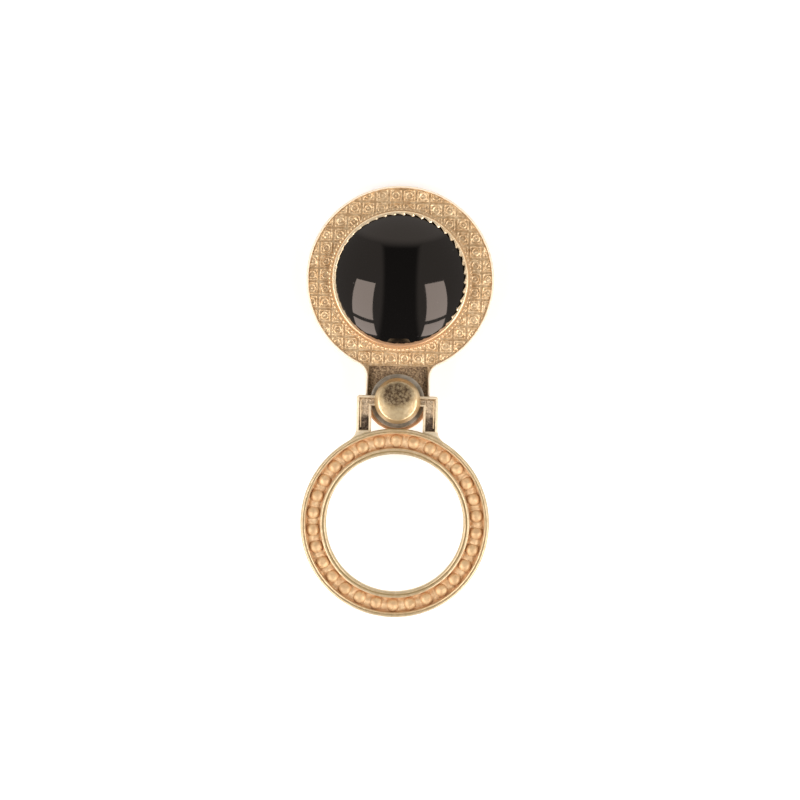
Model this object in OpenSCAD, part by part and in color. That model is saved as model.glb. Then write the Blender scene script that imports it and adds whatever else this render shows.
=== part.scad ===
// Spectacle-holder brooch: a round plate with a domed stone, and a ring that swings from it on a
// cap rivet. The brooch lies on its pin back, front up: +Y runs from the rivet to the stone, +Z
// is the way the front faces, and the rivet's axis stands on the origin.

/* [Plate] */
// Radius of the round plate
disc_r = 14.3; // [13.8:0.1:14.6]
// Distance from the rivet to the middle of the plate, and to the middle of the ring
reach = 18.5; // [18.4:0.1:19.5]
// Thickness of the plate's ground
plate_t = 1.4; // [1.2:0.1:1.8]
// Width of the raised edge round the plate and its tongue
edge_w = 0.38; // [0.3:0.02:0.4]
// Height of the raised edge above the ground
edge_h = 0.3; // [0.1:0.05:0.35]
// Half the width of the tongue that carries the rivet
tongue_r = 4.88; // [4.7:0.01:5]
// Distance from the rivet to the middle of the tongue's round end
tongue_end = 0.28; // [0.2:0.01:0.3]
// Distance from the rivet to the straight top of the tongue's sunk floor
sunk_top = 5.3; // [5:0.1:6]
// Thickness of the tongue's sunk floor
tongue_t = 0.8; // [0.6:0.05:1]
// Radius where the tongue, and the bail, run into their rounds
fillet_r = 2.3; // [1.5:0.1:2.5]

/* [Stone and setting] */
// Diameter of the stone
stone_d = 20; // [19.8:0.1:20]
// Height of the stone's straight girdle
girdle_h = 0.7; // [0.6:0.1:1.2]
// Height of the stone's dome above its girdle
dome_h = 4.2; // [3.6:0.1:5]
// Gap between the stone and the cup round it
stone_gap = 0.04; // [0.02:0.01:0.06]
// Thickness of the cup's metal
cup_t = 0.3; // [0.25:0.05:0.35]
// Height of the cup's edge above the stone's girdle
cup_over = 0.35; // [0.25:0.05:0.4]
// How far the cup's edge is turned in over the stone
cup_turn = 0.25; // [0.15:0.05:0.25]
// Thickness of the adhesive pad below the stone
pad_t = 0.25; // [0.15:0.05:0.4]
// Radius of the half-round beaded wire's section
wire_r = 0.3; // [0.2:0.05:0.3]

/* [Cap rivet] */
// Diameter of the domed cap
cap_d = 7; // [6.6:0.1:7.2]
// Height of the domed cap
cap_h = 2; // [1.7:0.1:2.4]
// Diameter of the post
post_d = 2.1; // [1.8:0.1:2.2]
// Diameter of the post's flat head behind the tongue
head_d = 5; // [4:0.1:5.5]
// Thickness of that head
head_t = 0.5; // [0.4:0.05:0.7]
// Diameter of the spacer washer
washer_d = 8.3; // [7.6:0.1:8.4]
// Thickness of the spacer washer
washer_t = 1.1; // [1.1:0.05:1.3]
// Clearance between the post and what turns on it
turn_gap = 0.06; // [0.03:0.01:0.1]

/* [Ring and bail] */
// Outer radius of the ring
ring_r = 14.3; // [14:0.1:14.3]
// Radius of the hole through the ring
hole_r = 10.4; // [10.2:0.1:10.6]
// Thickness of the ring at its rims
ring_t = 1.9; // [1.6:0.1:2.1]
// Height of the channel's floor above the ring's back
floor_t = 0.9; // [0.7:0.05:1.1]
// Inner and outer radius of the channel
channel_r = [11.4, 13.5];
// Depth and width of the fine groove that splits each rim
rim_groove = 0.2; // [0.1:0.05:0.3]
// Number of domed beads in the channel
bead_count = 30; // [24:1:30]
// Radius of a bead where it meets the floor
bead_r = 1; // [0.8:0.05:1]
// Height of a bead
bead_h = 0.85; // [0.6:0.05:0.95]
// Width of the bail across its legs
bail_w = 12.3; // [12.1:0.1:12.6]
// Width of one leg
leg_w = 2.35; // [2.2:0.05:2.4]
// Width of the crossbar
bar_w = 1.56; // [1.4:0.02:1.8]
// Thickness of the bail
bail_t = 1.2; // [1:0.05:1.3]
// Width of the raised edges round the sunk face of the bail
bail_edge = 0.36; // [0.25:0.01:0.4]
// Depth of the sunk face of the bail
bail_sink = 0.5; // [0.3:0.05:0.6]
// Radius of the eye in the crossbar
eye_r = 2.3; // [2:0.1:2.6]

/* [Brooch pin] */
// Distance of the pin above the middle of the plate
pin_rise = 3; // [2:0.1:4]
// Length of the base strip
strip_l = 19.6; // [19.2:0.1:19.8]
// Width of the base strip
strip_w = 4.4; // [4:0.1:5]
// Thickness of the base strip
strip_t = 0.5; // [0.4:0.05:0.6]
// Distance from the middle to the pin's hinge, and to the middle of its catch
pin_half = 8.2; // [7.8:0.1:8.3]
// Diameter of the pin's wire
pin_d = 0.9; // [0.8:0.05:1]
// Thickness of each hinge ear
ear_t = 0.5; // [0.4:0.05:0.6]
// Diameter of the hinge rivet
hinge_d = 1; // [0.9:0.05:1.1]
// Outer radius of the catch
catch_r = 1.6; // [1.6:0.05:1.7]
// Length of the catch
catch_l = 3; // [2.6:0.1:3.2]
// Thickness of the catch's wall
catch_wall = 0.38; // [0.34:0.02:0.4]
// Width of the mouth where the pin enters
mouth_w = 1.3; // [1.2:0.05:1.3]
// Length of the turning sleeve's thumb tab, from its axis
tab_l = 2; // [1.9:0.05:2.05]

/* [Hidden] */
$fn = 96;
over = 0.01;
fine = 0.05;
pin_gap = 0.12;

// heights, from the surface that the pin back rests on
pin_z = sqrt(pow(catch_r, 2) - pow(mouth_w / 2, 2));
strip_z = pin_z + catch_r + fine;
plate_z = strip_z + strip_t;
ground_z = plate_z + plate_t;
tongue_z = plate_z + tongue_t;
bail_z = tongue_z + washer_t + fine;
cap_z = bail_z + bail_t + fine;
pad_z = ground_z + cup_t;
stone_z = pad_z + pad_t;
cup_h = cup_t + pad_t + girdle_h + cup_over;

// the shoulders' hollows aim at a circle this far inside the ring, so they meet it at an angle
shoulder_bite = 0.3;
// how far the bail's metal reaches into the ring's outer rim
bail_root = 0.5;

// radii and half widths
stone_r = stone_d / 2;
cup_in = stone_r + stone_gap;
cup_out = cup_in + cup_t;
wire_ring_r = cup_out + wire_r + over;
dome_r = (pow(stone_r, 2) + pow(dome_h, 2)) / (2 * dome_h);
bead_ring_r = (channel_r[0] + channel_r[1]) / 2;
bead_ball_r = (pow(bead_r, 2) + pow(bead_h, 2)) / (2 * bead_h);
cap_wall = cap_h * 0.28;
cap_dome = cap_h - cap_wall;
cap_ball_r = (pow(cap_d / 2, 2) + pow(cap_dome, 2)) / (2 * cap_dome);
bail_half = bail_w / 2;
window_half = bail_half - leg_w;
strip_y = reach + pin_rise;
sleeve_out = catch_r - catch_wall - fine;
sleeve_in = pin_d / 2 + pin_gap;
ear_gap = pin_d + pin_gap;

// the corner between a straight side at x = side and a round of radius r centred at [0, mid],
// filled out to a hollow of radius hollow; toward is 1 where the round lies above the side, or -1
module hollow_corner(side, r, mid, toward, hollow) {
    x = side + hollow;
    y = sqrt(pow(r + hollow, 2) - pow(x, 2));
    difference() {
        polygon([[side - 1, mid - toward * y], [x, mid - toward * y],
            [0, mid] + [x, -toward * y] * r / (r + hollow),
            [side - 1, mid - toward * (r - 2)]]);
        translate([x, mid - toward * y])
            circle(r = hollow);
    }
}

// a round bar, or a ring of one, standing on z = 0
module tube(outer, inner, height) {
    difference() {
        cylinder(r = outer, h = height);
        translate([0, 0, -over])
            cylinder(r = inner, h = height + 2 * over);
    }
}

// the top of a ball of radius ball_r, standing high above z = 0
module button(ball_r, high) {
    intersection() {
        translate([0, 0, high - ball_r])
            sphere(r = ball_r);
        cylinder(r = ball_r, h = high + over);
    }
}

// outline of the tongue up to sunk_top, drawn in by inset
module tongue_outline(inset) {
    half = tongue_r - inset;
    translate([0, tongue_end])
        circle(r = half);
    translate([-half, tongue_end])
        square([2 * half, sunk_top - tongue_end]);
}

// outline of the whole plate, drawn in by inset
module plate_outline(inset) {
    translate([0, reach])
        circle(r = disc_r - inset);
    tongue_outline(inset);
    for (side = [0, 1])
        mirror([side, 0])
            hollow_corner(tongue_r - inset, disc_r - inset, reach, 1, fillet_r + inset);
}

module face_plate() {
    color("goldenrod")
    difference() {
        translate([0, 0, plate_z])
            linear_extrude(plate_t + edge_h)
                plate_outline(0);
        translate([0, 0, ground_z])
            linear_extrude(edge_h + over)
                plate_outline(edge_w);
        translate([0, 0, tongue_z])
            linear_extrude(plate_t)
                tongue_outline(edge_w);
        translate([0, 0, plate_z - over])
            cylinder(d = post_d, h = plate_t);
    }
}

module bezel_cup() {
    color("gold")
    translate([0, reach, ground_z])
        rotate_extrude()
            polygon([[0, 0], [cup_out, 0], [cup_out, cup_h - 0.35], [cup_out - cup_turn, cup_h],
                [cup_in - cup_turn, cup_h], [cup_in, cup_h - 0.4], [cup_in, cup_t], [0, cup_t]]);
}

module beaded_wire() {
    flat = 0.1;
    color("khaki")
    translate([0, reach, ground_z + wire_r - flat])
        rotate_extrude()
            translate([wire_ring_r, 0])
                difference() {
                    circle(r = wire_r, $fn = 32);
                    translate([-wire_r, -wire_r])
                        square([2 * wire_r, flat]);
                }
}

module stone_pad() {
    color("white")
    translate([0, reach, pad_z])
        cylinder(r = stone_r - 0.5, h = pad_t);
}

// the dome starts at the girdle, so that the cup's turned edge can hold it down
module cabochon() {
    color("black")
    translate([0, reach, stone_z]) {
        cylinder(r = stone_r, h = girdle_h);
        translate([0, 0, girdle_h])
            button(dome_r, dome_h);
    }
}

module spacer_washer() {
    color("dimgray")
    translate([0, 0, tongue_z])
        tube(washer_d / 2, post_d / 2, washer_t);
}

// flat head behind the tongue, and a post that ends inside the cap
module rivet_post() {
    color("silver") {
        translate([0, 0, plate_z - head_t])
            cylinder(d = head_d, h = head_t);
        translate([0, 0, plate_z - over])
            cylinder(d = post_d, h = cap_z - plate_z + cap_h * 0.5 + over);
    }
}

module stud_cap() {
    color("goldenrod")
    translate([0, 0, cap_z])
    difference() {
        union() {
            cylinder(d = cap_d, h = cap_wall);
            translate([0, 0, cap_wall])
                button(cap_ball_r, cap_dome);
        }
        translate([0, 0, -over])
            cylinder(d = post_d, h = cap_h * 0.5 + over);
    }
}

// outline of the bail: the crossbar and its eye, two legs, and shoulders that run into the ring
module bail_outline() {
    difference() {
        union() {
            translate([-bail_half, -reach + ring_r * 0.8])
                square([bail_w, reach - ring_r * 0.8 + bar_w / 2]);
            for (side = [0, 1])
                mirror([side, 0])
                    hollow_corner(bail_half, ring_r - shoulder_bite, -reach, -1, fillet_r);
            circle(r = eye_r);
        }
        difference() {
            translate([-window_half, -reach])
                square([2 * window_half, reach - bar_w / 2]);
            circle(r = eye_r);
        }
        translate([0, -reach])
            circle(r = ring_r - bail_root);
    }
}

// the sunk face runs along the crossbar and down both legs
module bail_sunk_face() {
    leg_foot = -reach + ring_r - 0.3;
    difference() {
        union() {
            for (side = [-1, 1])
                translate([side * (window_half + leg_w / 2) - (leg_w / 2 - bail_edge), leg_foot])
                    square([leg_w - 2 * bail_edge, -leg_foot + bar_w / 2 - bail_edge]);
            translate([-bail_half + bail_edge, -bar_w / 2 + 0.2])
                square([bail_w - 2 * bail_edge, bar_w - bail_edge - 0.2]);
        }
        circle(r = eye_r);
    }
}

module ring_frame() {
    r0 = hole_r;
    r1 = channel_r[0];
    r2 = channel_r[1];
    r3 = ring_r;
    mid_in = (r0 + r1) / 2;
    mid_out = (r2 + r3) / 2;
    bevel = 0.15;
    color("goldenrod")
    translate([0, 0, bail_z])
    difference() {
        union() {
            translate([0, -reach, 0])
                rotate_extrude()
                    polygon([[r0, 0], [r3 - bevel, 0], [r3, bevel], [r3, ring_t - bevel],
                        [r3 - bevel, ring_t], [mid_out + rim_groove / 2, ring_t],
                        [mid_out, ring_t - rim_groove], [mid_out - rim_groove / 2, ring_t],
                        [r2, ring_t], [r2, floor_t], [r1, floor_t], [r1, ring_t],
                        [mid_in + rim_groove / 2, ring_t], [mid_in, ring_t - rim_groove],
                        [mid_in - rim_groove / 2, ring_t], [r0, ring_t]]);
            linear_extrude(bail_t)
                bail_outline();
        }
        translate([0, 0, bail_t - bail_sink])
            linear_extrude(bail_sink + over)
                bail_sunk_face();
        translate([0, 0, -over])
            cylinder(r = post_d / 2 + turn_gap, h = bail_t + 2 * over);
    }
}

module ring_beads() {
    color("peachpuff")
    translate([0, -reach, bail_z + floor_t])
        for (i = [0 : bead_count - 1])
            rotate([0, 0, (i + 0.5) * 360 / bead_count])
                translate([bead_ring_r, 0, 0])
                    button(bead_ball_r, bead_h);
}

// an upright ear of the hinge: a round at the pin's height, joined to the strip
module hinge_ear() {
    rotate([90, 0, 0])
        linear_extrude(ear_t)
            difference() {
                union() {
                    circle(r = pin_z);
                    translate([-pin_z, 0])
                        square([2 * pin_z, strip_z - pin_z + over]);
                }
                circle(d = hinge_d);
            }
}

module pin_base() {
    color("silver")
    translate([0, strip_y, 0]) {
        translate([-strip_l / 2, -strip_w / 2, strip_z])
            cube([strip_l, strip_w, strip_t]);
        translate([-pin_half, -ear_gap / 2, pin_z])
            hinge_ear();
        translate([-pin_half, ear_gap / 2 + ear_t, pin_z])
            hinge_ear();
    }
}

// a slit drum on a foot; the pin enters through the slit, which faces away from the plate
module catch_housing() {
    color("silver")
    translate([pin_half - catch_l / 2, strip_y, pin_z])
    rotate([90, 0, 90])
        linear_extrude(catch_l)
            difference() {
                union() {
                    circle(r = catch_r);
                    translate([-catch_r * 0.6, 0])
                        square([catch_r * 1.2, strip_z - pin_z]);
                }
                circle(r = catch_r - catch_wall);
                translate([-mouth_w / 2, -catch_r - 1])
                    square([mouth_w, catch_r + 1]);
            }
}

module hinge_rivet() {
    span = ear_gap + 2 * ear_t;
    head = 0.25;
    color("gray")
    translate([-pin_half, strip_y + span / 2, pin_z])
    rotate([90, 0, 0]) {
        cylinder(d = hinge_d, h = span);
        for (z = [-head, span])
            translate([0, 0, z])
                cylinder(d = hinge_d + 0.6, h = head);
    }
}

// an eye on the hinge rivet, a straight wire, and a ground point just past the catch
module pin_stem() {
    wire_l = pin_half + catch_l / 2 - 0.4;
    point_l = 2.2;
    color("lightsteelblue")
    translate([-pin_half, strip_y, pin_z])
    difference() {
        union() {
            translate([0, pin_d / 2, 0])
                rotate([90, 0, 0])
                    cylinder(r = 1.15, h = pin_d);
            rotate([0, 90, 0])
                cylinder(d = pin_d, h = pin_half + wire_l);
            translate([pin_half + wire_l, 0, 0])
                rotate([0, 90, 0])
                    cylinder(d1 = pin_d, d2 = 0.12, h = point_l);
        }
        translate([0, pin_d, 0])
            rotate([90, 0, 0])
                cylinder(r = hinge_d / 2 + turn_gap, h = 2 * pin_d);
    }
}

// a slit sleeve that turns inside the catch, with a collar and a thumb tab at its outer end
module catch_sleeve() {
    collar_t = 0.6;
    end_gap = 0.15;
    color("silver")
    translate([pin_half - catch_l / 2, strip_y, pin_z])
    rotate([90, 0, 90])
    difference() {
        union() {
            cylinder(r = sleeve_out, h = catch_l + end_gap + over);
            translate([0, 0, catch_l + end_gap])
                cylinder(r = catch_r - 0.2, h = collar_t);
            rotate([0, 0, -165])
                translate([0, -0.25, catch_l + end_gap])
                    cube([tab_l, 0.5, collar_t]);
        }
        translate([0, 0, -over])
            cylinder(r = sleeve_in, h = catch_l + 2);
        translate([-sleeve_in, -catch_r - 1, -over])
            cube([2 * sleeve_in, catch_r + 1, catch_l + 2]);
    }
}

face_plate();
bezel_cup();
beaded_wire();
stone_pad();
cabochon();
spacer_washer();
rivet_post();
stud_cap();
ring_frame();
ring_beads();
pin_base();
catch_housing();
hinge_rivet();
pin_stem();
catch_sleeve();
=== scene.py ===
"""Looks for a spectacle-holder brooch: an embossed round plate with a domed black stone, and a
beaded ring that swings on a cap rivet. Lengths are millimetres until a mesh is made."""

import math

import bpy
import numpy as np
from mathutils import Matrix, Vector
from mathutils.geometry import tessellate_polygon


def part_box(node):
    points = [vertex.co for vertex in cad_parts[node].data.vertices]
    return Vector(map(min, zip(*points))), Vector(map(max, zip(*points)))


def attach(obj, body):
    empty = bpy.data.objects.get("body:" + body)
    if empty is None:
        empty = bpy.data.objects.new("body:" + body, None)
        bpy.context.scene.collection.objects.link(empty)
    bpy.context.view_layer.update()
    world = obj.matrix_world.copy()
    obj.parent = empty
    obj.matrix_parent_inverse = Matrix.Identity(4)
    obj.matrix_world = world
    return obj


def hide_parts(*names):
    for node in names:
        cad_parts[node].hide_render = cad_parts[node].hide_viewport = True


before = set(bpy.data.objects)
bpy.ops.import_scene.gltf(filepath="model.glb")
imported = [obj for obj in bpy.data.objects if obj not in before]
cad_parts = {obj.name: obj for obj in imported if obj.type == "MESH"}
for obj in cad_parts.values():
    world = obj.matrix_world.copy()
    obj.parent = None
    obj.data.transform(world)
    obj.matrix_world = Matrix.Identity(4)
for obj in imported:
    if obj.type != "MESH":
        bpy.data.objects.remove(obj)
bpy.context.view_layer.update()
MM = 0.001


def level(node, top=False):
    """Height of a part's underside, or of its top."""
    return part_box(node)[1 if top else 0].z / MM


# plan sizes of the castings; the rivet is at the origin
REACH = 18.5  # from the rivet to the middle of the stone, and to the middle of the ring
DISC_R = 14.3
TONGUE_HALF = 4.88
TONGUE_END = 0.28  # centre of the tongue's round end
SUNK_TOP = 5.3  # upper end of the tongue's sunk floor
FILLET_R = 2.3
RIM_W = 0.38
CUP_R = 10.34
MILGRAIN_R = 10.69
RING_R = 14.3
LEG_ROOT_R = 13.9  # how far into the ring's rim the bail's legs reach
BEAD_RING_R = 12.45
BEADS = 30
POST_HOLE_R = 1.06
BAIL_HALF = 6.15
BAR_HALF = 0.78
BAIL_T = 1.2
LEG_IN = 3.93
EDGE = 0.32  # width of the bail's raised edges
CORNER = 0.4  # rounding of the bail's outer top corners
# heights, read from the plain solids
PLATE_Z = level("face_plate")
PLATE_TOP = level("face_plate", top=True)
GROUND_Z = level("bezel_cup")
CUP_TOP = level("bezel_cup", top=True)
TONGUE_Z = level("spacer_washer")
WASHER_TOP = level("spacer_washer", top=True)
BAIL_Z = level("ring_frame")
CAP_Z = level("stud_cap")
BEAD_Z = level("ring_beads")
STONE_Z = level("cabochon")
# the softboxes
SOFTBOX_GLOW = 6.0
SOFTBOX_WIDTH = 0.43
SOFTBOX_ASIDE = 0.613


# ---- surfaces ----

def ease(value, low, high):
    """0 below low, 1 above high, and smooth between them."""
    t = np.clip((value - low) / (high - low), 0, 1)
    return t * t * (3 - 2 * t)


def ridge(value, middle, half_width):
    """A rounded ridge, 1 high, along value = middle."""
    t = np.clip(np.abs(value - middle) / half_width, 0, 1)
    return (1 - t * t) ** 2


def grain(x, y, size, seed):
    """Uneven casting skin from 0 to 1, with lumps of about that size."""
    u, v = np.asarray(x, float) / size, np.asarray(y, float) / size
    i, j = np.floor(u), np.floor(v)
    s, t = ease(u - i, 0, 1), ease(v - j, 0, 1)

    def lump(a, b):
        wave = np.sin(a * 127.1 + b * 311.7 + seed * 74.7) * 43758.5453
        return wave - np.floor(wave)

    low = lump(i, j) * (1 - s) + lump(i + 1, j) * s
    high = lump(i, j + 1) * (1 - s) + lump(i + 1, j + 1) * s
    return low * (1 - t) + high * t


def skin(points, round_rows=True, round_columns=True):
    """Joins rows of points, points[row, column], with quads. The columns, or the rows, may close."""
    rows, columns = points.shape[:2]
    r = np.arange(rows if round_rows else rows - 1)
    c = np.arange(columns if round_columns else columns - 1)
    r, c = np.meshgrid(r, c, indexing="ij")
    r2, c2 = (r + 1) % rows, (c + 1) % columns
    quads = np.stack([r * columns + c, r * columns + c2, r2 * columns + c2, r2 * columns + c], -1)
    return points.reshape(-1, 3), quads.reshape(-1, 4).tolist()


def fill(loops, height):
    """A flat face inside the first loop and outside the others."""
    points = np.concatenate(loops)
    flat = [[Vector((x, y, 0)) for x, y in loop] for loop in loops]
    points = np.column_stack([points, np.full(len(points), height)])
    return points, [list(t) for t in tessellate_polygon(flat)]


def lathe(profile, centre=(0, 0), steps=160, closed=True):
    """Turns a profile of (radius, height) about an upright axis."""
    angles = np.arange(steps) * 2 * math.pi / steps
    r, z = np.array(profile, float).T
    x = centre[0] + r[:, None] * np.cos(angles)
    y = centre[1] + r[:, None] * np.sin(angles)
    return skin(np.stack([x, y, np.repeat(z[:, None], steps, 1)], -1), round_rows=closed)


def moved(shape, shift):
    return shape[0] + np.array(shift, float), shape[1]


def make_piece(name, shapes, material, body, stands_for, sharp=50, floor=None, is_floor=None):
    """One mesh from several skins, which rides on a body and stands for its plain solid.
    Faces that is_floor picks by their middles and their normals take the floor material."""
    points, faces = [], []
    for shape_points, shape_faces in shapes:
        start = sum(len(p) for p in points)
        points.append(shape_points)
        faces += [[start + corner for corner in face] for face in shape_faces]
    mesh = bpy.data.meshes.new(name)
    mesh.from_pydata((np.concatenate(points) * MM).tolist(), [], faces)
    mesh.validate()
    mesh.materials.append(material)
    if floor:
        mesh.materials.append(floor)
        middles, normals = np.empty((2, len(mesh.polygons) * 3))
        mesh.polygons.foreach_get("center", middles)
        mesh.polygons.foreach_get("normal", normals)
        picked = is_floor(middles.reshape(-1, 3) / MM, np.abs(normals.reshape(-1, 3)[:, 2]))
        mesh.polygons.foreach_set("material_index", picked.astype(np.int32))
    mesh.shade_smooth()
    mesh.set_sharp_from_angle(angle=math.radians(sharp))
    piece = bpy.data.objects.new(name, mesh)
    bpy.context.scene.collection.objects.link(piece)
    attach(piece, body)
    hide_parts(stands_for)
    return piece


# ---- shader groups ----

def place(tree, kind, feeds=None, **settings):
    """Adds a node with its settings, and feeds its inputs from values or other nodes' sockets."""
    made = tree.nodes.new(kind)
    for name, value in settings.items():
        setattr(made, name, value)
    for name, value in (feeds or {}).items():
        if isinstance(value, bpy.types.NodeSocket):
            tree.links.new(value, made.inputs[name])
        else:
            made.inputs[name].default_value = value
    return made


def mix_colour(tree, factor, first, second):
    mixed = place(tree, "ShaderNodeMix", {0: factor, 6: first, 7: second}, data_type="RGBA")
    return mixed.outputs[2]


def ramp(tree, value, low, high, out_low=0.0, out_high=1.0):
    feeds = {"Value": value, "From Min": low, "From Max": high, "To Min": out_low, "To Max": out_high}
    return place(tree, "ShaderNodeMapRange", feeds, interpolation_type="SMOOTHSTEP").outputs[0]


def multiply(tree, first, second, **settings):
    return place(tree, "ShaderNodeMath", {0: first, 1: second}, operation="MULTIPLY", **settings).outputs[0]


def larger(tree, first, second):
    return place(tree, "ShaderNodeMath", {0: first, 1: second}, operation="MAXIMUM").outputs[0]


def per_metre(tree, size):
    """How many of a size given in millimetres go into a metre, which is a texture's scale."""
    return place(tree, "ShaderNodeMath", {0: 1 / MM, 1: size}, operation="DIVIDE").outputs[0]


def spot(tree):
    return place(tree, "ShaderNodeTexCoord").outputs["Object"]


def coordinate(tree, axis):
    return place(tree, "ShaderNodeSeparateXYZ", {0: spot(tree)}).outputs[axis]


def distance_aside(tree, centre_y=0.0):
    """Distance from the upright axis through a point on the long axis."""
    flat = place(tree, "ShaderNodeVectorMath", {0: spot(tree), 1: (1.0, 1.0, 0.0)}, operation="MULTIPLY")
    centre = {0: flat.outputs[0], 1: (0.0, centre_y, 0.0)}
    return place(tree, "ShaderNodeVectorMath", centre, operation="DISTANCE").outputs["Value"]


def start_group(name, inputs, outputs):
    """A shader group with its named inputs, as (name, value), and its named outputs."""
    group = bpy.data.node_groups.new(name, "ShaderNodeTree")
    for label, value in inputs:
        socket = group.interface.new_socket(name=label, in_out="INPUT", socket_type="NodeSocketFloat")
        socket.default_value = value
    for label in outputs:
        group.interface.new_socket(name=label, in_out="OUTPUT", socket_type="NodeSocketFloat")
    given = group.nodes.new("NodeGroupInput").outputs
    return group, given, group.nodes.new("NodeGroupOutput").inputs


def make_relief_group():
    """How high a spot stands between the bottom of the relief and its tops, made patchy with noise."""
    inputs = [("Bottom", 0.0), ("Top", 1.0), ("Patch Size", 1.0), ("Patchiness", 0.3)]
    group, given, result = start_group("patchy relief height", inputs, ["Height"])
    share = ramp(group, coordinate(group, "Z"), given["Bottom"], given["Top"])
    scale = per_metre(group, given["Patch Size"])
    patches = place(group, "ShaderNodeTexNoise", {"Vector": spot(group), "Scale": scale, "Detail": 3.0})
    swing = ramp(group, patches.outputs[0], 0.3, 0.7, -1.0, 1.0)
    terms = {0: swing, 1: given["Patchiness"], 2: share}
    shift = place(group, "ShaderNodeMath", terms, operation="MULTIPLY_ADD", use_clamp=True)
    group.links.new(shift.outputs[0], result["Height"])
    return group


def make_cast_group():
    """The fine lumps and pits of cast and plated metal, as a height and as a mottle."""
    inputs = [("Lump Size", 0.3), ("Pit Size", 0.12), ("Pits", 0.5)]
    group, given, result = start_group("cast skin", inputs, ["Height", "Mottle"])
    where = spot(group)
    lumps = {"Vector": where, "Scale": per_metre(group, given["Lump Size"]), "Detail": 4.0}
    soft = place(group, "ShaderNodeTexNoise", lumps).outputs[0]
    pits = {"Vector": where, "Scale": per_metre(group, given["Pit Size"])}
    cells = place(group, "ShaderNodeTexVoronoi", pits).outputs["Distance"]
    terms = {0: ramp(group, cells, 0.1, 0.6), 1: given["Pits"], 2: soft}
    height = place(group, "ShaderNodeMath", terms, operation="MULTIPLY_ADD")
    group.links.new(height.outputs[0], result["Height"])
    group.links.new(ramp(group, soft, 0.35, 0.65), result["Mottle"])
    return group


def make_speckle_group():
    """Coarse light and dark specks, as a stippled and antiqued sunk face holds them."""
    inputs = [("Speck Size", 0.3), ("Contrast", 0.5)]
    group, given, result = start_group("antiqued specks", inputs, ["Specks"])
    scale = per_metre(group, given["Speck Size"])
    grit = {"Vector": spot(group), "Scale": scale, "Detail": 2.0, "Roughness": 0.7}
    noise = place(group, "ShaderNodeTexNoise", grit)
    low = place(group, "ShaderNodeMath", {0: 0.5, 1: given["Contrast"]}, operation="SUBTRACT").outputs[0]
    high = place(group, "ShaderNodeMath", {0: 0.5, 1: given["Contrast"]}, operation="ADD").outputs[0]
    group.links.new(ramp(group, noise.outputs[0], low, high), result["Specks"])
    return group


def make_turned_group():
    """Fine rings left by turning or rolling, round an upright axis through the origin."""
    group, given, result = start_group("turned rings", [("Pitch", 0.1)], ["Height"])
    phase = multiply(group, distance_aside(group), per_metre(group, given["Pitch"]))
    turns = {"W": phase, "Scale": 1.0, "Detail": 2.0}
    rings = place(group, "ShaderNodeTexNoise", turns, noise_dimensions="1D")
    group.links.new(rings.outputs[0], result["Height"])
    return group


RELIEF = make_relief_group()
CAST = make_cast_group()
SPECKLE = make_speckle_group()
TURNED = make_turned_group()


def use_group(tree, group, **values):
    """Places a group and feeds it; a value's name has _ for each space."""
    made = place(tree, "ShaderNodeGroup", node_tree=group)
    for name, value in values.items():
        socket = made.inputs[name.replace("_", " ")]
        if isinstance(value, bpy.types.NodeSocket):
            tree.links.new(value, socket)
        else:
            socket.default_value = value
    return made


def start_material(name, metallic=1.0, **sockets):
    """A material with its Principled shader; plain values go straight to its sockets."""
    material = bpy.data.materials.new(name)
    material.use_nodes = True
    tree = material.node_tree
    shader = tree.nodes["Principled BSDF"]
    shader.inputs["Metallic"].default_value = metallic
    for socket, value in sockets.items():
        shader.inputs[socket.replace("_", " ")].default_value = value
    return material, tree, shader


def bump(tree, shader, height, depth, strength=1.0):
    """Feeds a height that spans about 0 to 1 to the shader's normal, depth millimetres deep."""
    made = place(tree, "ShaderNodeBump", {"Height": height, "Distance": depth * MM, "Strength": strength})
    tree.links.new(made.outputs[0], shader.inputs["Normal"])


def rgb(red, green, blue):
    return (red, green, blue, 1.0)


def make_plate_gold():
    """Matt antique gilding: a worn rim with a painted cream highlight on its crest, brown in the grooves,
    coppery round the tongue's end.
    """
    material, tree, shader = start_material("antique gilding", metallic=0.6)
    relief = use_group(tree, RELIEF, Bottom=(GROUND_Z - 0.1) * MM, Top=(GROUND_Z + 0.1) * MM,
                       Patch_Size=0.9, Patchiness=0.3).outputs[0]
    height = coordinate(tree, "Z")
    rim = ramp(tree, height, (PLATE_TOP - 0.13) * MM, (PLATE_TOP - 0.03) * MM)
    side = ramp(tree, height, (GROUND_Z - 0.3) * MM, (GROUND_Z - 0.15) * MM, 0.6, 0.0)
    cast = use_group(tree, CAST, Lump_Size=0.45, Pit_Size=0.16, Pits=0.4)
    gold = mix_colour(tree, cast.outputs["Mottle"], rgb(0.70, 0.49, 0.27), rgb(0.90, 0.70, 0.44))
    worn = mix_colour(tree, relief, rgb(0.40, 0.25, 0.125), gold)
    # painted cream highlight along the crest of the raised rim
    crest = mix_colour(tree, rim, worn, rgb(0.97, 0.86, 0.69))
    cast_gold = mix_colour(tree, side, crest, gold)
    front = ramp(tree, height, (TONGUE_Z - 0.4) * MM, (TONGUE_Z - 0.1) * MM)
    coppery = multiply(tree, ramp(tree, coordinate(tree, "Y"), -0.8 * MM, -1.6 * MM), front)
    colour = mix_colour(tree, coppery, cast_gold, rgb(0.96, 0.58, 0.32))
    tree.links.new(colour, shader.inputs["Base Color"])
    tree.links.new(ramp(tree, larger(tree, rim, coppery), 0.0, 1.0, 0.6, 0.25), shader.inputs["Metallic"])
    tree.links.new(ramp(tree, relief, 0.0, 1.0, 0.6, 0.43), shader.inputs["Roughness"])
    bump(tree, shader, cast.outputs["Height"], 0.03)
    return material


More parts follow.
